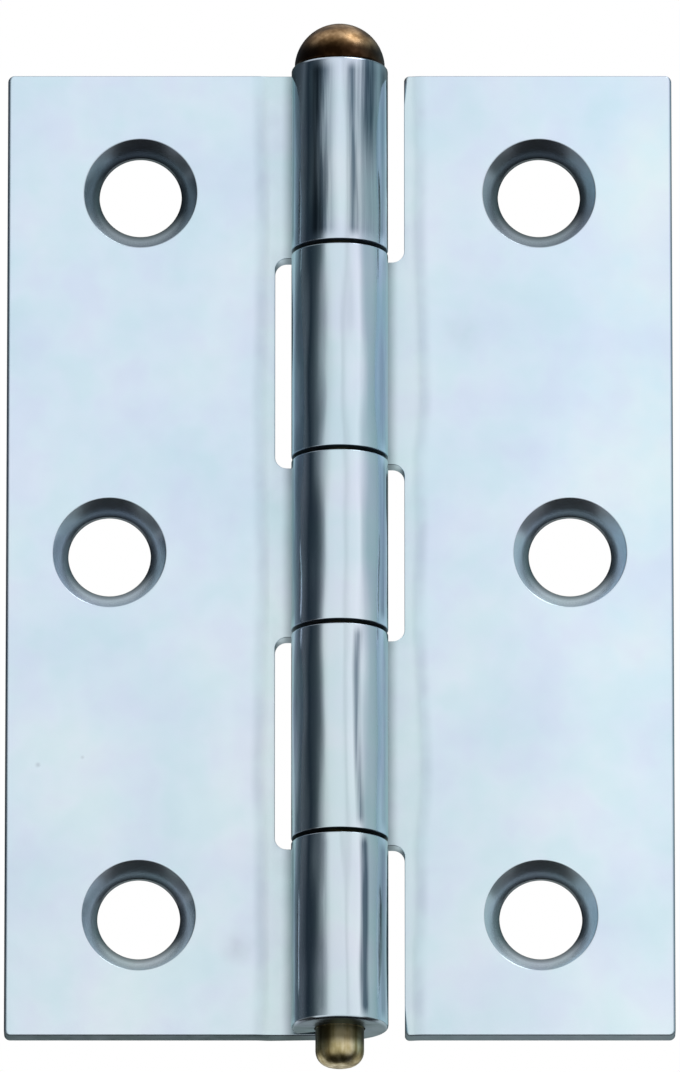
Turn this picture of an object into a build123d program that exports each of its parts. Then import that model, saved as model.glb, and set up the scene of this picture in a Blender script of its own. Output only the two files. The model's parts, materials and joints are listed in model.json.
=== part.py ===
from build123d import *
import os
from math import asin, cos, sin

# Loose-pin flap hinge, shown open flat.
# The pin stands along +Z with its domed head up, the leaves reach out along X,
# and the countersunk faces look towards -Y. The origin is on the pin's axis,
# halfway along the leaves. All sizes are in millimetres.

# Leaf blank
leaf_length = 76.0
leaf_reach = 25.5
sheet = 1.8
corner_round = 0.4
edge_round = 0.25

# Step that brings each plate forward of the strip that runs into its knuckles
step_depth = 0.12
step_width = 1.2
step_reach = 5.8

# Knuckles, counted from the top: end, side, middle, side, end
end_knuckle = 14.75
side_knuckle = 16.4
knuckle_gap = 0.3
notch_reach = 4.95
notch_round = 0.9
notch_round_share = 0.75
knuckle_round = 0.3
seam_gap = 0.2

# Pin
pin_diameter = 3.7
pin_clearance = 0.05
head_diameter = 6.9
head_height = 3.5
head_rim = 0.4
head_edge = 0.2
tip_length = 2.9
tip_round = 1.2

# Countersunk screw holes
screw_hole = 6.3
countersink = 8.7
countersink_angle = 90
screw_pitch = 28.6
outer_screw_reach = 15.3
middle_screw_reach = 17.6

# Places that follow from the sizes above
bore_radius = pin_diameter / 2 + pin_clearance
barrel_radius = bore_radius + sheet
plate_front = bore_radius - step_depth
plate_back = plate_front + sheet
top = leaf_length / 2
end_joint = top - end_knuckle
middle_joint = end_joint - side_knuckle
# A notch's corners take up only a share of the strip beside the barrel
notch_corner = min(notch_round, notch_round_share * (notch_reach - barrel_radius))
left, right = -1, 1
tiny = 0.001

front_plane = Plane(origin=(0, plate_front, 0), x_dir=(1, 0, 0), z_dir=(0, -1, 0))
plan_plane = Plane(origin=(0, 0, 0), x_dir=(1, 0, 0), z_dir=(0, -1, 0))


def step_curve(side, plate_face, strip_face):
    """The step between a plate face and the strip face: two equal arcs, level at both ends."""
    outer = (side * (step_reach + step_width / 2), plate_face)
    inner = (side * (step_reach - step_width / 2), strip_face)
    middle = (side * step_reach, (plate_face + strip_face) / 2)
    TangentArc(outer, middle, tangent=(-side, 0))
    TangentArc(inner, middle, tangent=(side, 0))
    return outer, inner


def leaf_section(side):
    """A leaf cut across the pin: plate, step, strip, and the roll that closes on the strip."""
    roll_end = asin((bore_radius - seam_gap) / barrel_radius)
    end_outside = (side * barrel_radius * cos(roll_end), barrel_radius * sin(roll_end))
    end_inside = (side * bore_radius * cos(roll_end), bore_radius * sin(roll_end))
    with BuildSketch(Plane.XY) as section:
        with BuildLine():
            back_outer, back_inner = step_curve(side, plate_back, barrel_radius)
            front_outer, front_inner = step_curve(side, plate_front, bore_radius)
            Line(back_inner, (0, barrel_radius))
            ThreePointArc((0, barrel_radius), (0, -barrel_radius), end_outside)
            Line(end_outside, end_inside)
            ThreePointArc(end_inside, (0, -bore_radius), (0, bore_radius))
            Line((0, bore_radius), front_inner)
            Polyline(
                front_outer,
                (side * leaf_reach, plate_front),
                (side * leaf_reach, plate_back),
                back_outer,
            )
        make_face()
    return section.sketch


def is_plate_corner(vertex, side):
    """True at an outer corner of the plate."""
    return abs(vertex.X - side * leaf_reach) < tiny


def is_notch_corner(vertex, side):
    """True at an inside corner, where a notch meets a knuckle's tab."""
    return abs(vertex.Y) < top - tiny and abs(vertex.X - side * notch_reach) < tiny


def leaf_plan(side, knuckles):
    """A leaf's outline seen from the front: the plate and one tab for each knuckle."""
    plate_width = leaf_reach - notch_reach
    tab_width = notch_reach + barrel_radius
    with BuildSketch(plan_plane) as plan:
        with Locations((side * (notch_reach + plate_width / 2), 0)):
            Rectangle(plate_width, leaf_length)
        for low, high in knuckles:
            with Locations((side * (notch_reach - tab_width / 2), (low + high) / 2)):
                Rectangle(tab_width, high - low)
        fillet(plan.vertices().filter_by(lambda v: is_plate_corner(v, side)), corner_round)
        fillet(plan.vertices().filter_by(lambda v: is_notch_corner(v, side)), notch_corner)
    return plan.sketch


def screw_points(side):
    """Where a leaf's three screw holes stand on its front face, as X and Z."""
    outer = side * outer_screw_reach
    middle = side * middle_screw_reach
    return [(outer, screw_pitch), (middle, 0), (outer, -screw_pitch)]


def shape_leaf(leaf, side, knuckles):
    """Makes a leaf: its section run along the pin, cut to its plan, drilled, and its edges rounded."""
    extrude(leaf_section(side), amount=top, both=True)
    extrude(leaf_plan(side, knuckles), amount=2 * barrel_radius, both=True, mode=Mode.INTERSECT)
    with Locations(front_plane):
        with Locations(*screw_points(side)):
            CounterSinkHole(screw_hole / 2, countersink / 2, counter_sink_angle=countersink_angle)
    upright = leaf.edges().filter_by(Axis.Z)
    outer_edges = upright.filter_by(lambda e: abs(e.center().X - side * leaf_reach) < tiny)
    fillet(outer_edges.group_by(Axis.Y)[0], edge_round)
    arcs = leaf.edges().filter_by(GeomType.CIRCLE)
    fillet(arcs.filter_by(lambda e: abs(e.radius - barrel_radius) < tiny), knuckle_round)


# Where each leaf's knuckles start and stop along the pin, with half a gap at each joint
half_gap = knuckle_gap / 2
left_knuckles = [
    (end_joint + half_gap, top),
    (-middle_joint + half_gap, middle_joint - half_gap),
    (-top, -end_joint - half_gap),
]
right_knuckles = [
    (middle_joint + half_gap, end_joint - half_gap),
    (-end_joint + half_gap, -middle_joint - half_gap),
]

os.makedirs("parts", exist_ok=True)

# Left leaf, with the end knuckles and the middle one
with BuildPart() as leaf_left:
    shape_leaf(leaf_left, left, left_knuckles)
leaf_left.part.label = "leaf_left"
export_step(leaf_left.part, "parts/leaf_left.step")

# Right leaf, with the two side knuckles
with BuildPart() as leaf_right:
    shape_leaf(leaf_right, right, right_knuckles)
leaf_right.part.label = "leaf_right"
export_step(leaf_right.part, "parts/leaf_right.step")

# Pin, turned in one piece: domed head, shank and rounded tip
with BuildPart() as hinge_pin:
    with BuildSketch(Plane.XZ) as pin_profile:
        with BuildLine():
            head_top = (0, top + head_height)
            head_side = (head_diameter / 2, top + head_rim)
            TangentArc(head_top, head_side, tangent=(1, 0))
            Polyline(
                head_side,
                (head_diameter / 2, top),
                (pin_diameter / 2, top),
                (pin_diameter / 2, -top - tip_length),
                (0, -top - tip_length),
                head_top,
            )
        make_face()
        head_corner = (head_diameter / 2, top)
        tip_corner = (pin_diameter / 2, -top - tip_length)
        fillet(pin_profile.vertices().sort_by_distance(head_corner)[0], head_edge)
        fillet(pin_profile.vertices().sort_by_distance(tip_corner)[0], tip_round)
    revolve(axis=Axis.Z)
hinge_pin.part.label = "hinge_pin"
export_step(hinge_pin.part, "parts/hinge_pin.step")
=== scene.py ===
import json
from math import asin, ceil, cos, pi, radians, sin, sqrt, tan

import bmesh
import bpy
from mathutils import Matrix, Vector
from mathutils.geometry import delaunay_2d_cdt


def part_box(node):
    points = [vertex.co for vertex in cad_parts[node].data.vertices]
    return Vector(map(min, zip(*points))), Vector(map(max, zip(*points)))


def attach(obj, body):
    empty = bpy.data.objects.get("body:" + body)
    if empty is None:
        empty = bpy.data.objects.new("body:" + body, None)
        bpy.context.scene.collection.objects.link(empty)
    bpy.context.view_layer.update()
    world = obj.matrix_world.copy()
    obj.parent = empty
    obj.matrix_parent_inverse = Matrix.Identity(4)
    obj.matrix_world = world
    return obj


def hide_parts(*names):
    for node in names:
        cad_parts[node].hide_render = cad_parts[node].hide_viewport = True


# A loose-pin flap hinge, open flat: two zinc-plated steel leaves on a tarnished brass pin.
# Each leaf is worked out as a flat blank in millimetres, then stepped and rolled to its place,
# and written in metres. A blank's points are reach (out from the pin's axis, and below zero
# along the roll), depth (behind the front face) and height (along the pin).

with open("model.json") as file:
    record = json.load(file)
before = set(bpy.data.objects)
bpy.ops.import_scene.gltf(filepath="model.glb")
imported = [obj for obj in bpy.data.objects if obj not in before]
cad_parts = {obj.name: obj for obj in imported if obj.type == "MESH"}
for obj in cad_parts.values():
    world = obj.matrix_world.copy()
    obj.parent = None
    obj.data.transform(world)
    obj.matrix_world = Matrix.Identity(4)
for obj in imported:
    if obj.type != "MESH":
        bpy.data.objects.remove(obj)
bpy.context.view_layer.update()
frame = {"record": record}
scene = bpy.context.scene
MM = 0.001

# Sizes that the frame gives
leaf_low, leaf_high = [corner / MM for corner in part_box("leaf_left")]
pin_low, pin_high = [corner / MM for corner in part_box("hinge_pin")]
mounts = {mount["name"]: mount for mount in frame["record"]["mounts"]}
leaf_reach = -leaf_low.x
top = leaf_high.z
barrel_radius = leaf_high.y
plate_back = mounts["left_back"]["pos_m"][1] / MM
head_radius = pin_high.x

# Sheet and its bends
sheet = 1.8
bore_radius = barrel_radius - sheet
plate_front = plate_back - sheet
step_depth = bore_radius - plate_front
step_width = 1.2
step_reach = 5.8
step_start = step_reach - step_width / 2
step_end = step_reach + step_width / 2
step_bend = (step_width ** 2 + step_depth ** 2) / (4 * step_depth)
seam_gap = 0.2
roll_turn = 1.5 * pi + asin((bore_radius - seam_gap) / barrel_radius)
roll_end = -roll_turn * barrel_radius

# How the step's line strays: a ripple up the pin, a finer one in it, and a bow beside each right knuckle
ripple = 0.1
ripple_length = 4.3
fine_share = 0.5
fine_rate = 2.7
step_bow = 0.5
step_last = step_end + step_bow + (1 + fine_share) * ripple

# Knuckles, counted from the top: end, side, middle, side, end
end_knuckle = 14.75
side_knuckle = 16.4
knuckle_gap = 0.3
notch_reach = 4.95
end_joint = top - end_knuckle
middle_joint = end_joint - side_knuckle
half_gap = knuckle_gap / 2
left_knuckles = [
    (end_joint + half_gap, top),
    (-middle_joint + half_gap, middle_joint - half_gap),
    (-top, -end_joint - half_gap),
]
right_knuckles = [
    (middle_joint + half_gap, end_joint - half_gap),
    (-end_joint + half_gap, -middle_joint - half_gap),
]

# Corners of the outline
plate_corner = 0.45
inner_corner = 0.35
notch_corner = 0.9
roll_corner = 0.4

# Rounding of the edges, front and back: on a knuckle the front is inside the bore
plate_edges = (0.28, 0.12)
roll_edges = (0.1, 0.3)
end_edge = 0.1
notch_edge = 0.05
# Outer rounding of a knuckle at a joint: its lower end and its upper end
joint_edges = (0.07, 0.13)
# Reaches between which a knuckle's rounding turns into the plate's
roll_edges_until = 2.5
plate_edges_from = 4.5
# How dull the cut metal is, which also sets how much painted shade it takes, in the notches and at the
# barrel's top, and at the barrel's bottom
notch_cut = 0.08
lower_cut = 0.75
# Reaches between which the knuckles' look turns into the plate's
roll_look = (0.5, 3.0)

# Countersunk screw holes
countersink_radius = 4.35
rim_round = 0.16
throat_round = 0.06
collar = 0.2

# Pin
pin_radius = 1.85
head_rim = 0.4
head_edge = 0.2
tip_round = 1.2

# Fineness of the meshes
corner_steps = 8
edge_steps = 4
hole_steps = 96
pin_steps = 128
dome_steps = 24
roll_step = radians(3)
step_step = 0.13
grid_step = 2.0
grid_margin = 0.9
# First bend line past a notch, in roundings of the plate's front edge
line_clear = 1.2
# Least distance of a point on a straight run from the run's ends
stop_clear = 0.05
# How near to a bend line a point counts as on it, and how squarely its normal has to face along the pin
on_line = 1e-5
facing = 0.999
# Points nearer than this are one to the triangulation, which keeps what is inside the outline
same_spot = 1e-6
inside_outline = 1
shading_weight = 80


def ease(low, high, value):
    """Runs smoothly from 0 at low to 1 at high."""
    share = min(max((value - low) / (high - low), 0.0), 1.0)
    return share * share * (3 - 2 * share)


# Shape of a leaf

def step_shift(side, height):
    """How far out the step's line strays at a height."""
    coarse = sin(height / ripple_length + side)
    fine = fine_share * sin(fine_rate * height / ripple_length)
    shift = ripple * (coarse + fine)
    if side > 0:
        for low, high in right_knuckles:
            share = min(max((height - low) / (high - low), 0.0), 1.0)
            # A parabola that reaches the whole bow halfway up the knuckle
            shift += 4 * step_bow * share * (1 - share)
    return shift


def front_face(reach):
    """How far behind the pin's axis the sheet's front face lies, out along the leaf."""
    if reach <= step_start:
        return bore_radius
    if reach >= step_end:
        return plate_front
    if reach < step_reach:
        return bore_radius - step_bend + sqrt(step_bend ** 2 - (reach - step_start) ** 2)
    return plate_front + step_bend - sqrt(step_bend ** 2 - (step_end - reach) ** 2)


def bend(side, reach, depth, height):
    """Takes a point of the flat blank to its place on the finished leaf."""
    if reach >= 0:
        return side * reach, front_face(reach - step_shift(side, height)) + depth, height
    turn = -reach / barrel_radius
    radius = bore_radius + depth
    return -side * radius * sin(turn), radius * cos(turn), height


def bend_lines():
    """Reaches at which the blank needs an edge: where it bends, and once across the flat strip."""
    roll_start = roll_end + roll_corner
    rolls = ceil(-roll_start / barrel_radius / roll_step)
    lines = [roll_start * i / rolls for i in range(rolls)]
    lines.append((notch_reach - notch_corner) / 2)
    first = notch_reach + line_clear * plate_edges[0]
    steps = ceil((step_last - first) / step_step)
    lines.extend(first + (step_last - first) * i / steps for i in range(steps + 1))
    return sorted(lines)


def blank_corners(knuckles):
    """Corners of a blank's outline as reach, height and rounding, anticlockwise."""
    corners = [(leaf_reach, -top, plate_corner), (leaf_reach, top, plate_corner)]
    if knuckles[0][1] < top:
        corners.append((notch_reach, top, inner_corner))
    for low, high in knuckles:
        if high < top:
            corners.append((notch_reach, high, notch_corner))
        corners.append((roll_end, high, roll_corner))
        corners.append((roll_end, low, roll_corner))
        if low > -top:
            corners.append((notch_reach, low, notch_corner))
    if knuckles[-1][0] > -top:
        corners.append((notch_reach, -top, inner_corner))
    return corners


def stops_between(start, end, lines):
    """Points along a straight run of the outline: at the bend lines, or evenly up the pin."""
    run = end - start
    if abs(run.x) > abs(run.y):
        shares = sorted((line - start.x) / run.x for line in lines)
    else:
        parts = ceil(run.length / grid_step)
        shares = [i / parts for i in range(1, parts)]
    clear = stop_clear / run.length
    return [start + run * share for share in shares if clear < share < 1 - clear]


def outline(corners, lines):
    """Points along the rounded outline, each with its outward normal."""
    arcs = []
    for i, (reach, height, radius) in enumerate(corners):
        here = Vector((reach, height))
        heading = (here - Vector(corners[i - 1][:2])).normalized()
        onward = (Vector(corners[(i + 1) % len(corners)][:2]) - here).normalized()
        centre = here + (onward - heading) * radius
        outward = 1 if heading.cross(onward) > 0 else -1
        arc = []
        for step in range(corner_steps + 1):
            turn = pi / 2 * step / corner_steps
            spoke = heading * sin(turn) - onward * cos(turn)
            arc.append((centre + spoke * radius, spoke * outward))
        arcs.append(arc)
    path = []
    for arc, following in zip(arcs, arcs[1:] + arcs[:1]):
        path.extend(arc)
        start, normal = arc[-1]
        path.extend((spot, normal) for spot in stops_between(start, following[0][0], lines))
    return path


def edge_section(spot, normal):
    """The sheet's rounded edge from front to back, as inset, depth and how dull the metal is there, which
    also sets its painted shade.
    """
    share = ease(roll_edges_until, plate_edges_from, spot.x)
    outside = roll_edges[1]
    front = end_edge + (plate_edges[0] - end_edge) * abs(normal.x)
    dull = lower_cut if spot.y < 0 else notch_cut
    dull += (1 - dull) * share
    if abs(spot.y) < top - roll_corner:
        outside = joint_edges[0] + (joint_edges[1] - joint_edges[0]) * ease(-1, 1, normal.y)
        in_notch = share * (1 - ease(step_reach, step_end, spot.x))
        front += (notch_edge - front) * in_notch
        dull = 1 + (notch_cut - 1) * in_notch
    front = roll_edges[0] + (front - roll_edges[0]) * share
    back = outside + (plate_edges[1] - outside) * share
    turns = [pi / 2 * step / edge_steps for step in range(edge_steps + 1)]
    section = []
    for turn in turns:
        section.append((front * (1 - sin(turn)), front * (1 - cos(turn)), dull * sin(turn) ** 2))
    for turn in reversed(turns):
        section.append((back * (1 - sin(turn)), sheet - back * (1 - cos(turn)), dull * sin(turn) ** 2))
    return section


def hole_section(throat):
    """A countersunk hole from front to back, as radius, depth and how far it is in the countersink."""
    # The cone stands at 45 degrees, so its rim is rounded through an eighth of a turn
    lip = rim_round * tan(pi / 8)
    rim = countersink_radius + lip
    section = [(rim + collar, 0, 0)]
    for step in range(edge_steps + 1):
        turn = pi / 4 * step / edge_steps
        section.append((rim - rim_round * sin(turn), rim_round * (1 - cos(turn)), sin(2 * turn)))
    cone = countersink_radius - throat
    section.append((throat + cone / 2, cone / 2, 1))
    section.append((throat + throat_round, cone - throat_round, 1))
    section.append((throat, cone + throat_round, 1))
    section.append((throat, sheet - throat_round, 1))
    section.append((throat + throat_round, sheet, 0))
    section.append((throat + throat_round + collar, sheet, 0))
    return section


class Blank:
    """A flat blank: its points, its faces, and how far each point is in a cut edge or a countersink."""

    def __init__(self):
        self.points = []
        self.faces = []
        self.cuts = []
        self.sinks = []

    def ring(self, spots, cuts=None, sink=0.0):
        """Adds a ring of points, all countersunk alike, and returns their numbers."""
        start = len(self.points)
        self.points.extend(spots)
        self.cuts.extend(cuts or [0.0] * len(spots))
        self.sinks.extend([sink] * len(spots))
        return list(range(start, len(self.points)))

    def chain(self, start, end):
        """Joins two points by a row of new ones and returns the pairs along it."""
        first, last = Vector(self.points[start]), Vector(self.points[end])
        parts = ceil((last - first).length / grid_step)
        between = self.ring([tuple(first.lerp(last, part / parts)) for part in range(1, parts)])
        row = [start] + between + [end]
        return list(zip(row, row[1:]))

    def wall(self, rings):
        """Joins each ring to the next with a band of faces."""
        for near, far in zip(rings, rings[1:]):
            count = len(near)
            for i in range(count):
                j = (i + 1) % count
                self.faces.append((near[i], near[j], far[j], far[i]))

    def cover(self, loops, lines, spare):
        """Fills a face from its outline, the first loop, to its holes, with an edge along each line."""
        numbers = list(dict.fromkeys([number for loop in loops + lines for number in loop] + spare))
        place = {number: i for i, number in enumerate(numbers)}
        flat = [Vector((self.points[number][0], self.points[number][2])) for number in numbers]
        edges = [(place[a], place[b]) for loop in loops for a, b in zip(loop, loop[1:] + loop[:1])]
        edges += [(place[a], place[b]) for a, b in lines]
        made = delaunay_2d_cdt(flat, edges, [], inside_outline, same_spot)
        triangles, sources = made[2], made[3]
        holes = [set(loop) for loop in loops[1:]]
        for triangle in triangles:
            corners = tuple(numbers[sources[corner][0]] for corner in triangle)
            if not any(hole.issuperset(corners) for hole in holes):
                self.faces.append(corners)


def line_pairs(path, ring, lines):
    """Pairs of ring points that face each other along a bend line."""
    pairs = []
    for line in lines:
        found = []
        for (spot, normal), number in zip(path, ring):
            if abs(spot.x - line) < on_line and abs(normal.y) > facing:
                found.append((spot.y, number))
        found.sort()
        numbers = [number for height, number in found]
        pairs.extend(zip(numbers[::2], numbers[1::2]))
    return pairs


def grid_spots(holes, depth):
    """Points spread over the plate, clear of its edges and holes."""
    spots = []
    across = leaf_reach - step_last - 2 * grid_margin
    wide = int(across / grid_step)
    tall = int(2 * (top - grid_margin) / grid_step)
    for i in range(wide + 1):
        reach = step_last + grid_margin + across * i / wide
        for j in range(tall + 1):
            height = (top - grid_margin) * (2 * j / tall - 1)
            spot = Vector((reach, height))
            if all((spot - centre).length > countersink_radius + grid_margin for centre, throat in holes):
                spots.append((reach, depth, height))
    return spots


def add_edge(blank, path):
    """Adds a blank's rounded edge and returns its rings from front to back."""
    sections = [edge_section(spot, normal) for spot, normal in path]
    rings = []
    for level in range(len(sections[0])):
        spots = []
        cuts = []
        for (spot, normal), section in zip(path, sections):
            inset, depth, cut = section[level]
            place = spot - normal * inset
            spots.append((place.x, depth, place.y))
            cuts.append(cut)
        rings.append(blank.ring(spots, cuts=cuts))
    blank.wall(rings)
    return rings


def add_hole(blank, centre, throat):
    """Adds a countersunk hole to a blank and returns its rings from front to back."""
    turns = [2 * pi * step / hole_steps for step in range(hole_steps)]
    rings = []
    for radius, depth, sink in hole_section(throat):
        spots = []
        for turn in turns:
            spots.append((centre.x + radius * cos(turn), depth, centre.y + radius * sin(turn)))
        rings.append(blank.ring(spots, sink=sink))
    blank.wall(rings)
    return rings


def leaf_blank(knuckles, holes):
    """Makes a leaf's blank: its edge, its holes, and its front and back faces."""
    blank = Blank()
    lines = bend_lines()
    path = outline(blank_corners(knuckles), lines)
    edge_rings = add_edge(blank, path)
    hole_rings = [add_hole(blank, centre, throat) for centre, throat in holes]
    for level, depth in ((0, 0.0), (-1, sheet)):
        spare = blank.ring(grid_spots(holes, depth))
        loops = [edge_rings[level]] + [rings[level] for rings in hole_rings]
        pairs = []
        for start, end in line_pairs(path, edge_rings[level], lines):
            pairs.extend(blank.chain(start, end))
        blank.cover(loops, pairs, spare)
    return blank


def new_piece(name, points, faces, material):
    """Makes a smooth mesh object from points in millimetres."""
    mesh = bpy.data.meshes.new(name)
    mesh.from_pydata([Vector(point) * MM for point in points], [], faces)
    cleaner = bmesh.new()
    cleaner.from_mesh(mesh)
    bmesh.ops.recalc_face_normals(cleaner, faces=cleaner.faces)
    cleaner.to_mesh(mesh)
    cleaner.free()
    mesh.shade_smooth()
    mesh.materials.append(material)
    piece = bpy.data.objects.new(name, mesh)
    scene.collection.objects.link(piece)
    normals = piece.modifiers.new("even_shading", "WEIGHTED_NORMAL")
    normals.weight = shading_weight
    return piece


def mark(piece, name, kind, field, values):
    """Stores one value for each point of a piece, for its material to read."""
    stored = piece.data.attributes.new(name, kind, "POINT")
    stored.data.foreach_set(field, values)


def screw_holes(side_name):
    """A leaf's screw holes from its mounts: each centre on the blank, and the throat's radius."""
    outer = mounts[side_name + "_outer_screws"]
    middle = mounts[side_name + "_middle_screw"]
    outer_reach = abs(outer["pos_m"][0]) / MM
    pitch = outer["dims"]["spacing_y_mm"] / 2
    throat = outer["dims"]["hole_r_mm"]
    return [
        (Vector((outer_reach, pitch)), throat),
        (Vector((abs(middle["pos_m"][0]) / MM, 0)), middle["dims"]["r_mm"]),
        (Vector((outer_reach, -pitch)), throat),
    ]


def make_leaf(name, side_name, side, knuckles, material):
    """Makes a leaf from its blank and puts it in place of its plain solid."""
    blank = leaf_blank(knuckles, screw_holes(side_name))
    piece = new_piece(name, [bend(side, *point) for point in blank.points], blank.faces, material)
    flat = []
    rolled = []
    past_step = []
    for reach, depth, height in blank.points:
        flat.extend((side * reach, depth, height))
        rolled.append(1 - ease(*roll_look, reach))
        past_step.append(reach - step_reach - step_shift(side, height))
    mark(piece, "blank", "FLOAT_VECTOR", "vector", flat)
    mark(piece, "cut", "FLOAT", "value", blank.cuts)
    mark(piece, "sink", "FLOAT", "value", blank.sinks)
    mark(piece, "roll", "FLOAT", "value", rolled)
    mark(piece, "past_step", "FLOAT", "value", past_step)
    node = "leaf_" + side_name
    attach(piece, node)
    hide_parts(node)


# Shape of the pin

def arc_points(centre, radius, first, last, steps):
    """Points of an arc as radius and height, between two angles measured from +Z outwards."""
    turns = [first + (last - first) * step / steps for step in range(steps + 1)]
    return [(centre[0] + radius * sin(turn), centre[1] + radius * cos(turn)) for turn in turns]


def pin_profile():
    """The pin's outline from the top of its head to the end of its tip, as radius and height."""
    rise = pin_high.z - top - head_rim
    dome = (head_radius ** 2 + rise ** 2) / (2 * rise)
    dome_side = asin(head_radius / dome)
    under_head = (head_radius - head_edge, top + head_edge)
    tip = (pin_radius - tip_round, pin_low.z + tip_round)
    profile = arc_points((0, pin_high.z - dome), dome, 0, dome_side, dome_steps)
    profile += arc_points(under_head, head_edge, pi / 2, pi, corner_steps)
    profile += [(pin_radius, top), (pin_radius, -top)]
    profile += arc_points(tip, tip_round, pi / 2, pi, corner_steps)
    profile.append((0, pin_low.z))
    return profile


def make_pin(name, material):
    """Turns the pin in one piece and puts it in place of its plain solid."""
    points = []
    rings = []
    for radius, height in pin_profile():
        count = pin_steps if radius > 0 else 1
        rings.append(list(range(len(points), len(points) + count)))
        for step in range(count):
            turn = 2 * pi * step / pin_steps
            points.append((radius * cos(turn), radius * sin(turn), height))
    faces = []
    for near, far in zip(rings, rings[1:]):
        for step in range(pin_steps):
            following = (step + 1) % pin_steps
            corners = (near[step % len(near)], near[following % len(near)],
                       far[following % len(far)], far[step % len(far)])
            faces.append(tuple(dict.fromkeys(corners)))
    piece = new_piece(name, points, faces, material)
    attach(piece, "hinge_pin")
    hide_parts("hinge_pin")


# Nodes of the materials

def add(tree, kind, inputs, **settings):
    """Adds a node, sets it up, and fills or links its inputs."""
    node = tree.nodes.new(kind)
    for name, value in settings.items():
        setattr(node, name, value)
    for name, value in inputs.items():
        if isinstance(value, bpy.types.NodeSocket):
            tree.links.new(value, node.inputs[name])
        else:
            node.inputs[name].default_value = value
    return node


def maths(tree, operation, *values):
    """A maths node's result."""
    return add(tree, "ShaderNodeMath", dict(enumerate(values)), operation=operation).outputs[0]


def noise(tree, vector, size, detail, stretch=(1, 1, 1)):
    """Soft noise, from 0 to 1, with blotches of about the given size in the vector's unit."""
    scale = [1 / (size * share) for share in stretch]
    scaled = add(tree, "ShaderNodeVectorMath", {0: vector, 1: scale}, operation="MULTIPLY").outputs[0]
    inputs = {"Vector": scaled, "Scale": 1.0, "Detail": detail}
    return add(tree, "ShaderNodeTexNoise", inputs).outputs["Fac"]


def grey(level):
    """A grey as a colour."""
    return (level, level, level, 1.0)


def ramp(tree, value, stops):
    """Colours, or greys, along a value: each stop is a place from 0 to 1 and its colour."""
    node = add(tree, "ShaderNodeValToRGB", {"Fac": value})
    elements = node.color_ramp.elements
    while len(elements) < len(stops):
        elements.new(1.0)
    for element, (place, colour) in zip(elements, stops):
        element.position = place
        element.color = (*colour, 1.0) if isinstance(colour, tuple) else grey(colour)
    return node.outputs["Color"]


def mix(tree, share, first, second, blend="MIX"):
    """Mixes two colours."""
    inputs = {"Fac": share, "Color1": first, "Color2": second}
    return add(tree, "ShaderNodeMixRGB", inputs, blend_type=blend).outputs[0]


def tone(tree, colour, share, shade):
    """Multiplies a colour by a shade, as far as the share goes."""
    return mix(tree, share, colour, mix(tree, 1.0, colour, shade, "MULTIPLY"))


def fade(tree, value, start, end):
    """Runs smoothly from 0 where the value is at start to 1 where it is at end."""
    inputs = {"Value": value, "From Min": start, "From Max": end}
    return add(tree, "ShaderNodeMapRange", inputs, interpolation_type="SMOOTHSTEP").outputs[0]


def attribute(tree, name, output="Fac"):
    """A value that was stored on each point of a piece."""
    return add(tree, "ShaderNodeAttribute", {}, attribute_name=name).outputs[output]


def new_material(name):
    """An empty material with a metal shader, as the material, its node tree and that shader."""
    material = bpy.data.materials.new(name)
    material.use_nodes = True
    tree = material.node_tree
    tree.nodes.clear()
    shader = add(tree, "ShaderNodeBsdfPrincipled", {"Metallic": 1.0})
    add(tree, "ShaderNodeOutputMaterial", {"Surface": shader.outputs["BSDF"]})
    return material, tree, shader


def add_relief(tree, shader, height, unit):
    """Gives a shader a fine relief from a height, counted in a unit of length."""
    bump = add(tree, "ShaderNodeBump", {"Height": height, "Strength": 1.0, "Distance": unit})
    tree.links.new(bump.outputs["Normal"], shader.inputs["Normal"])


# Zinc, in millimetres on the blank. A zone is where a shade starts and where it is full.

# Noise over a leaf: the size of its blotches, its detail, and its stretch where it has one
cloud_noise = (11.0, 2.0)
patch_noise = (4.5, 3.0)
blotch_noise = (1.5, 4.0)
grain_noise = (0.16, 2.0)
streak_noise = (0.3, 2.0, (1, 1, 30))
wave_noise = (2.4, 1.0, (1, 1, 5))

# Pale blue clouds and faint tints, painted light that makes the right side lighter, and warmer low down
cloud_colours = [(0.32, (0.655, 0.80, 0.93)), (0.5, (0.70, 0.834, 0.955)), (0.68, (0.745, 0.865, 0.965))]
patch_tints = [(0.36, (0.955, 1.0, 0.98)), (0.5, (1.0, 1.0, 1.0)), (0.64, (1.0, 0.965, 1.0))]
right_light_zone = (8.0, 25.0)
right_painted_light = (1.09, 1.09, 1.085, 1.0)
low_zone = (10.0, -35.0)
low_shade = (1.0, 0.985, 0.955, 1.0)
# How the metal darkens where it is seen at a slant
limb_tint = (0.68, 0.75, 0.73, 1.0)

# Painted shade on the strip inside the step, and a broken line of painted shade along the step
strip_zone = (0.3, -0.3)
strip_painted_shade = (0.965, 0.975, 0.94, 1.0)
step_line_place = 0.35
step_line_width = 0.7
step_line_breaks = [(0.35, 0.35), (0.6, 1.0)]
step_line_painted_shade = (0.84, 0.86, 0.86, 1.0)

# The knuckles, and painted shade at the end of their roll, on the barrel's limb beside the leaf
roll_shade = (0.89, 0.885, 0.87, 1.0)
limb_shade_zone = (15.2, 17.2)
limb_painted_shade = (0.7, 0.79, 0.77, 1.0)
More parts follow.
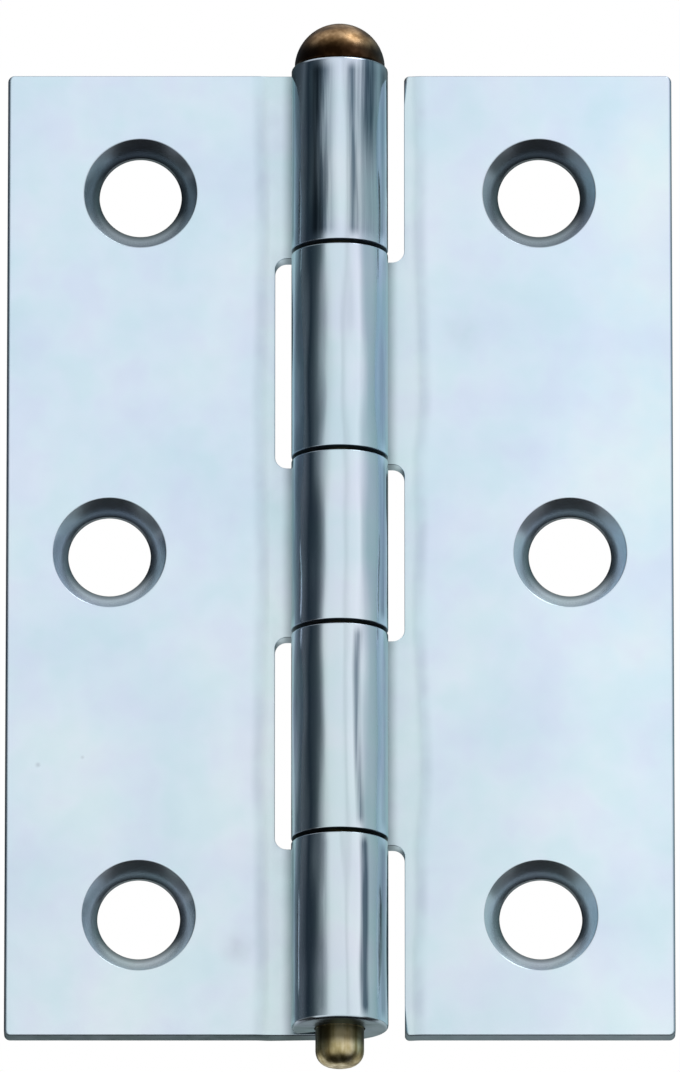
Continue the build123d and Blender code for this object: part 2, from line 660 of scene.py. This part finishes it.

# Dark bands painted along the knuckles as painted reflections of dark surroundings: side of the leaf,
# degrees round from the front, half its width, where it starts and stops, how dark it is, and the length of
# its soft ends
short_end = 1.2
long_end = 7.0
painted_reflection_bands = [
    (-1, -21, 1.4, end_joint, top, 1.0, short_end),
    (-1, -27, 0.7, end_joint, top, 0.9, short_end),
    (-1, 15, 0.65, end_joint, top, 1.0, short_end),
    (-1, 34, 2.2, end_joint, top, 0.45, short_end),
    (-1, 36, 1.25, end_joint + 4.0, top + long_end, 1.15, long_end),
    (1, 22, 0.5, -end_joint, -middle_joint, 0.9, short_end),
    (-1, 30, 0.55, -top, -end_joint, 1.4, short_end),
    (-1, -18, 0.5, -top, -end_joint, 0.35, short_end),
]
for low, high in left_knuckles:
    painted_reflection_bands.append((-1, -78, 1.0, low, high, 0.8, short_end))
    painted_reflection_bands.append((-1, 63, 0.8, low, high, 0.7, short_end))
for low, high in right_knuckles:
    painted_reflection_bands.append((1, 66, 0.8, low, high, 0.35, short_end))
band_wander = 0.8
band_breaks = [(0.35, 0.6), (0.55, 1.0)]
band_painted_shade = (0.2, 0.25, 0.29, 1.0)

# Smudges on the plates: place across and along, size, and how dark it is
smudges = [
    (-7.8, -31.2, 1.9, 0.32),
    (-23.0, -16.8, 0.3, 0.8),
    (-19.6, -16.2, 0.22, 0.5),
    (9.4, 17.5, 2.4, 0.12),
]
smudge_shade = (0.3, 0.27, 0.3, 1.0)

# Painted shade in the crevice between the strip and the barrel
crevice_shade_zone = (4.6, 3.5)
crevice_painted_shade = (0.44, 0.47, 0.47, 1.0)

# Painted shade in the countersinks, by share of the sheet's depth, and painted light that makes the lower
# holes lighter
cone_painted_shades = [(0.1, 0.55), (0.35, 0.48), (0.52, 0.25), (0.66, 0.15)]
lower_hole_light_zone = (28.0, -8.0)
lower_hole_painted_light = (1.6, 1.6, 1.6, 1.0)

# Edges, by how dull they are: painted shade on the rounding, then the cut metal, darker by its duller tone
# and by painted shade, most at the lower left
edge_zone = (0.0, 0.3)
edge_painted_shade = (0.62, 0.63, 0.66, 1.0)
cut_zone = (0.3, 1.0)
cut_blotches = [(0.3, 1.0), (0.75, 0.7)]
cut_left_zone = (2.0, -2.0)
cut_low_zone = (5.0, -15.0)
cut_shares = [(0.0, 0.55), (1.0, 0.95)]
cut_dull_and_painted_shade = (0.13, 0.17, 0.17, 1.0)

# Roughness: satin on the plates, brighter on the knuckles
plate_roughness = [(0.25, 0.29), (0.75, 0.38)]
roll_roughness = [(0.3, 0.09), (0.7, 0.14)]
cone_roughness = 0.25
cut_roughness = 0.45

# Relief: fine grain with streaks in it, and slow waves along the knuckles
grain_height = 0.0015
streak_share = 0.6
wave_height = 0.26


class LeafInputs:
    """What a leaf's material reads: the values stored on its points, and noise laid over its blank."""

    def __init__(self, tree):
        self.blank = attribute(tree, "blank", "Vector")
        self.roll = attribute(tree, "roll")
        self.sink = attribute(tree, "sink")
        self.cut = attribute(tree, "cut")
        self.past_step = attribute(tree, "past_step")
        parts = add(tree, "ShaderNodeSeparateXYZ", {"Vector": self.blank}).outputs
        self.across = parts["X"]
        self.depth = parts["Y"]
        self.along = parts["Z"]
        self.out = maths(tree, "ABSOLUTE", self.across)
        self.flat = maths(tree, "SUBTRACT", 1.0, self.roll)
        self.clouds = noise(tree, self.blank, *cloud_noise)
        self.patches = noise(tree, self.blank, *patch_noise)
        self.blotches = noise(tree, self.blank, *blotch_noise)
        self.grain = noise(tree, self.blank, *grain_noise)
        self.streaks = noise(tree, self.blank, *streak_noise)
        self.waves = noise(tree, self.blank, *wave_noise)


def plated_colour(tree, leaf):
    """The zinc's own colour, with painted light that makes the right side lighter."""
    colour = ramp(tree, leaf.clouds, cloud_colours)
    colour = mix(tree, 1.0, colour, ramp(tree, leaf.patches, patch_tints), "MULTIPLY")
    colour = tone(tree, colour, fade(tree, leaf.across, *right_light_zone), right_painted_light)
    return tone(tree, colour, fade(tree, leaf.along, *low_zone), low_shade)


def step_colour(tree, leaf, colour):
    """Paints shade on the strip inside the step, and a line of painted shade along it."""
    strip = maths(tree, "MULTIPLY", leaf.flat, fade(tree, leaf.past_step, *strip_zone))
    colour = tone(tree, colour, strip, strip_painted_shade)
    off_line = maths(tree, "ABSOLUTE", maths(tree, "SUBTRACT", leaf.past_step, step_line_place))
    line = fade(tree, off_line, step_line_width, 0.0)
    line = maths(tree, "MULTIPLY", line, ramp(tree, leaf.patches, step_line_breaks))
    return tone(tree, colour, line, step_line_painted_shade)


def line_mask(tree, across, along, centre, width, low, high, soft):
    """A soft line along the pin at a place across a leaf, with soft ends of a given length."""
    off = maths(tree, "ABSOLUTE", maths(tree, "SUBTRACT", across, centre))
    line = fade(tree, off, width, 0.0)
    below = fade(tree, along, high, high - soft)
    above = fade(tree, along, low, low + soft)
    return maths(tree, "MULTIPLY", line, maths(tree, "MULTIPLY", below, above))


def rolled_colour(tree, leaf, colour):
    """Shades the knuckles, and paints shade on the end of their roll and dark bands of painted reflection
    along them.
    """
    colour = tone(tree, colour, leaf.roll, roll_shade)
    limb_shade = maths(tree, "MULTIPLY", leaf.roll, fade(tree, leaf.out, *limb_shade_zone))
    colour = tone(tree, colour, limb_shade, limb_painted_shade)
    wander = maths(tree, "MULTIPLY_ADD", leaf.waves, band_wander, leaf.across)
    wander = maths(tree, "ADD", wander, -band_wander / 2)
    broken = ramp(tree, leaf.streaks, band_breaks)
    # Each band is a painted reflection, laid into the knuckle's colour
    for side, turn, width, low, high, dark, soft in painted_reflection_bands:
        centre = -side * barrel_radius * (pi + side * radians(turn))
        line = line_mask(tree, wander, leaf.along, centre, width, low, high, soft)
        line = maths(tree, "MULTIPLY", line, broken)
        line = maths(tree, "MULTIPLY", line, maths(tree, "MULTIPLY", leaf.roll, dark))
        colour = tone(tree, colour, line, band_painted_shade)
    return colour


def smudged_colour(tree, leaf, colour):
    """Shades the smudges on the plates, and paints shade into the crevice beside the barrel."""
    for across, along, size, dark in smudges:
        inputs = {0: leaf.blank, 1: (across, 0.0, along)}
        away = add(tree, "ShaderNodeVectorMath", inputs, operation="DISTANCE").outputs["Value"]
        spread = maths(tree, "MULTIPLY", fade(tree, away, size, 0.0), leaf.blotches)
        colour = tone(tree, colour, maths(tree, "MULTIPLY", spread, dark), smudge_shade)
    crevice_shadow = maths(tree, "MULTIPLY", fade(tree, leaf.out, *crevice_shade_zone), leaf.flat)
    return tone(tree, colour, crevice_shadow, crevice_painted_shade)


def cut_colour(tree, leaf, colour):
    """Paints shade into the countersinks, lighter in the lower holes, paints shade on the rounded edges,
    and darkens the cut metal, partly its duller tone and partly painted shade.
    """
    # Painted shade in the countersinks, with painted light in the lower holes
    cone = ramp(tree, maths(tree, "DIVIDE", leaf.depth, sheet), cone_painted_shades)
    cone = tone(tree, cone, fade(tree, leaf.along, *lower_hole_light_zone), lower_hole_painted_light)
    colour = tone(tree, colour, leaf.sink, cone)
    # Painted shade on the rounded edges, then on the cut metal its duller tone and painted shade, most at
    # the lower left
    colour = tone(tree, colour, fade(tree, leaf.cut, *edge_zone), edge_painted_shade)
    dull = fade(tree, leaf.cut, *cut_zone)
    dull = maths(tree, "MULTIPLY", dull, ramp(tree, leaf.blotches, cut_blotches))
    left = fade(tree, leaf.across, *cut_left_zone)
    lower_left = maths(tree, "MULTIPLY", left, fade(tree, leaf.along, *cut_low_zone))
    dull = maths(tree, "MULTIPLY", dull, ramp(tree, lower_left, cut_shares))
    return tone(tree, colour, dull, cut_dull_and_painted_shade)


def zinc_roughness(tree, leaf):
    """How rough the zinc is on the plates, knuckles, countersinks and cut edges."""
    satin = ramp(tree, leaf.blotches, plate_roughness)
    bright = ramp(tree, leaf.streaks, roll_roughness)
    roughness = mix(tree, leaf.roll, satin, bright)
    roughness = mix(tree, leaf.sink, roughness, grey(cone_roughness))
    return mix(tree, leaf.cut, roughness, grey(cut_roughness))


def zinc_relief(tree, leaf):
    """The height of the zinc's fine relief, in millimetres."""
    fine = maths(tree, "MULTIPLY_ADD", leaf.streaks, streak_share, leaf.grain)
    fine = maths(tree, "MULTIPLY", fine, grain_height)
    wavy = maths(tree, "MULTIPLY", maths(tree, "MULTIPLY", leaf.waves, leaf.roll), wave_height)
    return maths(tree, "ADD", fine, wavy)


def zinc_plate():
    """Bright zinc on steel: pale blue, softly clouded, satin on the plates and brighter on the knuckles."""
    material, tree, shader = new_material("zinc_plate")
    leaf = LeafInputs(tree)
    colour = plated_colour(tree, leaf)
    colour = step_colour(tree, leaf, colour)
    colour = rolled_colour(tree, leaf, colour)
    colour = smudged_colour(tree, leaf, colour)
    colour = cut_colour(tree, leaf, colour)
    tree.links.new(colour, shader.inputs["Base Color"])
    shader.inputs["Specular Tint"].default_value = limb_tint
    tree.links.new(zinc_roughness(tree, leaf), shader.inputs["Roughness"])
    add_relief(tree, shader, zinc_relief(tree, leaf), MM)
    return material


# Brass of the pin, in metres from its own origin

tarnish_noise = (1.3 * MM, 5.0)
pitting_noise = (0.12 * MM, 3.0)
drawn_noise = (0.5 * MM, 2.0, (1, 1, 14))
# Heights between which these fade in: the head, the shank, the head's dark rim of painted shade, and the
# tip and the painted shadow that the knuckle casts on it
head_zone = (top * MM, (top + 0.05) * MM)
shank_zone = (-top * MM, (0.4 - top) * MM)
rim_shade_zone = ((top + 2.0) * MM, (top + 0.7) * MM)
below_zone = ((0.1 - top) * MM, (-0.1 - top) * MM)
tip_shadow_zone = ((-1.75 - top) * MM, (-0.85 - top) * MM)
head_colours = [(0.36, (0.10, 0.055, 0.02)), (0.5, (0.26, 0.155, 0.07)), (0.62, (0.50, 0.33, 0.18))]
shank_colours = [(0.34, (0.36, 0.27, 0.115)), (0.5, (0.52, 0.40, 0.18)), (0.66, (0.64, 0.51, 0.25))]
tip_colours = [(0.36, (0.22, 0.17, 0.07)), (0.5, (0.46, 0.39, 0.2)), (0.62, (0.72, 0.64, 0.42))]
tip_drawn_share = 0.6
rim_painted_shade = (0.12, 0.1, 0.1, 1.0)
tip_painted_shadow = (0.2, 0.2, 0.18, 1.0)
head_roughness = [(0.3, 0.4), (0.7, 0.24)]
shank_roughness = [(0.3, 0.3), (0.7, 0.2)]
tip_roughness = [(0.3, 0.44), (0.7, 0.3)]
pitting_height = 0.003 * MM
# The tarnish stands this many times as high as the pitting
tarnish_rise = 2.0


def pin_brass():
    """Tarnished brass: brown on the head with a dark rim of painted shade, burnished on the shank and olive
    on the tip, with a painted shadow under the knuckle.
    """
    material, tree, shader = new_material("pin_brass")
    place = add(tree, "ShaderNodeTexCoord", {}).outputs["Object"]
    height = add(tree, "ShaderNodeSeparateXYZ", {"Vector": place}).outputs["Z"]
    tarnish = noise(tree, place, *tarnish_noise)
    pitting = noise(tree, place, *pitting_noise)
    drawn = noise(tree, place, *drawn_noise)
    head = fade(tree, height, *head_zone)
    shank = fade(tree, height, *shank_zone)

    olive = ramp(tree, mix(tree, tip_drawn_share, tarnish, drawn), tip_colours)
    colour = mix(tree, shank, olive, ramp(tree, drawn, shank_colours))
    colour = mix(tree, head, colour, ramp(tree, tarnish, head_colours))
    # Painted shade on the head's lower rim, beside the barrel
    rim = maths(tree, "MULTIPLY", head, fade(tree, height, *rim_shade_zone))
    colour = tone(tree, colour, rim, rim_painted_shade)
    # Painted shadow on the tip, just below the knuckle
    below = fade(tree, height, *below_zone)
    tip_shadow = maths(tree, "MULTIPLY", below, fade(tree, height, *tip_shadow_zone))
    colour = tone(tree, colour, tip_shadow, tip_painted_shadow)
    tree.links.new(colour, shader.inputs["Base Color"])

    dull = ramp(tree, tarnish, tip_roughness)
    roughness = mix(tree, shank, dull, ramp(tree, drawn, shank_roughness))
    roughness = mix(tree, head, roughness, ramp(tree, tarnish, head_roughness))
    tree.links.new(roughness, shader.inputs["Roughness"])

    relief = maths(tree, "MULTIPLY_ADD", tarnish, tarnish_rise, pitting)
    add_relief(tree, shader, relief, pitting_height)
    return material


# Studio: light all round the object, a pale floor and the camera

# Brightness round the horizon as the knuckles reflect it: degrees from the front, and the colour there
horizon = [
    (-180, (0.10, 0.11, 0.12)), (-162, (0.07, 0.08, 0.09)), (-145, (0.06, 0.07, 0.08)),
    (-120, (0.05, 0.06, 0.07)), (-97, (0.10, 0.115, 0.13)), (-78, (0.015, 0.025, 0.035)),
    (-62, (0.05, 0.065, 0.075)), (-52, (0.12, 0.14, 0.15)), (-42, (0.38, 0.40, 0.41)),
    (-33, (0.78, 0.79, 0.78)), (-22, (0.92, 0.93, 0.92)), (-8, (0.96, 0.96, 0.96)),
    (6, (0.98, 0.98, 0.98)), (14, (0.84, 0.84, 0.84)), (26, (1.02, 1.0, 1.0)),
    (46, (1.1, 1.06, 1.06)), (59, (0.72, 0.74, 0.76)), (73, (0.51, 0.59, 0.61)),
    (97, (0.40, 0.51, 0.52)), (120, (0.22, 0.30, 0.31)), (145, (0.22, 0.26, 0.27)),
    (168, (0.14, 0.16, 0.165)),
]
# Brightness up and down: degrees above the horizon
upright = [
    (-90, 0.02), (-50, 0.03), (-39, 0.62), (-27, 0.94), (-14, 0.97),
    (35, 0.95), (55, 0.85), (75, 0.8), (90, 0.9),
]
# Share of the horizon's pattern that shows at each height
horizon_share = [(-34, 0.0), (-24, 0.1), (-12, 0.12), (-2, 1.0), (38, 1.0), (62, 0.0)]
# Brightness that is left low down at each turn, between dark walls at both sides
low_sides = [
    (-122, 1.0), (-106, 0.06), (-68, 0.06), (-57, 1.0),
    (57, 1.0), (68, 0.06), (106, 0.06), (122, 1.0),
]
# Share of those walls that shows at each height
low_share = [(-12, 1.0), (-3, 0.0)]

# Lamp, floor and camera, in metres and degrees; the floor lies deep enough for views from below
lamp_place = (0.36, -0.16, 0.85)
lamp_size = 0.36
lamp_power = 1.3
floor_height = -3.0
floor_size = 14.4
floor_colour = (0.9, 0.9, 0.9, 1.0)
white = (1.0, 1.0, 1.0, 1.0)
camera_rise = -15.4
camera_distance = 1.5
camera_lens = 660
camera_clip = 10
camera_target = Vector((0.02, 0.0, 0.8)) * MM


def turn_ramp(tree, turn, stops):
    """Colours, or greys, round the horizon, with the front in the middle of the ramp."""
    return ramp(tree, turn, [(degrees / 360 + 0.5, colour) for degrees, colour in stops])


def rise_ramp(tree, rise, stops):
    """Greys from straight down to straight up."""
    return ramp(tree, rise, [(sin(radians(degrees)) / 2 + 0.5, level) for degrees, level in stops])


def make_world():
    """White to the camera, and a softly graded studio to everything else."""
    world = bpy.data.worlds.new("studio")
    scene.world = world
    world.use_nodes = True
    tree = world.node_tree
    tree.nodes.clear()
    direction = add(tree, "ShaderNodeTexCoord", {}).outputs["Generated"]
    parts = add(tree, "ShaderNodeSeparateXYZ", {"Vector": direction}).outputs
    away = maths(tree, "MULTIPLY", parts["Y"], -1.0)
    angle = maths(tree, "ARCTAN2", parts["X"], away)
    turn = maths(tree, "MULTIPLY_ADD", angle, 1 / (2 * pi), 0.5)
    rise = maths(tree, "MULTIPLY_ADD", parts["Z"], 0.5, 0.5)
    up_and_down = rise_ramp(tree, rise, upright)
    walls = turn_ramp(tree, turn, low_sides)
    up_and_down = tone(tree, up_and_down, rise_ramp(tree, rise, low_share), walls)
    round_about = turn_ramp(tree, turn, horizon)
    studio = mix(tree, rise_ramp(tree, rise, horizon_share), up_and_down, round_about)
    path = add(tree, "ShaderNodeLightPath", {}).outputs
    seen = maths(tree, "MAXIMUM", path["Is Camera Ray"], path["Is Transmission Ray"])
    background = add(tree, "ShaderNodeBackground", {"Color": mix(tree, seen, studio, white)})
    add(tree, "ShaderNodeOutputWorld", {"Surface": background.outputs["Background"]})


def make_lamp():
    """A small soft lamp overhead, which glints on the pin's head."""
    data = bpy.data.lights.new("overhead_lamp", "AREA")
    data.size = lamp_size
    data.energy = lamp_power
    lamp = bpy.data.objects.new("overhead_lamp", data)
    scene.collection.objects.link(lamp)
    lamp.location = lamp_place
    lamp.rotation_mode = "QUATERNION"
    lamp.rotation_quaternion = (-Vector(lamp_place)).to_track_quat("-Z", "Y")


def make_floor():
    """A plain pale floor well below the object, white to the camera."""
    half = floor_size / 2
    corners = [(-half, -half, floor_height), (half, -half, floor_height),
               (half, half, floor_height), (-half, half, floor_height)]
    mesh = bpy.data.meshes.new("floor")
    mesh.from_pydata(corners, [], [(0, 1, 2, 3)])
    floor = bpy.data.objects.new("floor", mesh)
    scene.collection.objects.link(floor)
    material = bpy.data.materials.new("pale_floor")
    material.use_nodes = True
    tree = material.node_tree
    tree.nodes.clear()
    pale = add(tree, "ShaderNodeBsdfDiffuse", {"Color": floor_colour}).outputs[0]
    bright = add(tree, "ShaderNodeEmission", {"Color": white}).outputs[0]
    seen = add(tree, "ShaderNodeLightPath", {}).outputs["Is Camera Ray"]
    surface = add(tree, "ShaderNodeMixShader", {0: seen, 1: pale, 2: bright}).outputs[0]
    add(tree, "ShaderNodeOutputMaterial", {"Surface": surface})
    mesh.materials.append(material)
    floor.visible_glossy = False


def make_camera():
    """A long lens, in front and below, looking up at the object a little."""
    data = bpy.data.cameras.new("camera")
    data.lens = camera_lens
    data.clip_end = camera_clip
    camera = bpy.data.objects.new("camera", data)
    scene.collection.objects.link(camera)
    rise = radians(camera_rise)
    back = Vector((0, -cos(rise), sin(rise)))
    camera.location = camera_target + back * camera_distance
    camera.rotation_mode = "QUATERNION"
    camera.rotation_quaternion = (-back).to_track_quat("-Z", "Y")
    scene.camera = camera


zinc = zinc_plate()
make_leaf("left_leaf", "left", -1, left_knuckles, zinc)
make_leaf("right_leaf", "right", 1, right_knuckles, zinc)
make_pin("pin", pin_brass())
make_world()
make_lamp()
make_floor()
make_camera()
scene.view_settings.view_transform = "Standard"
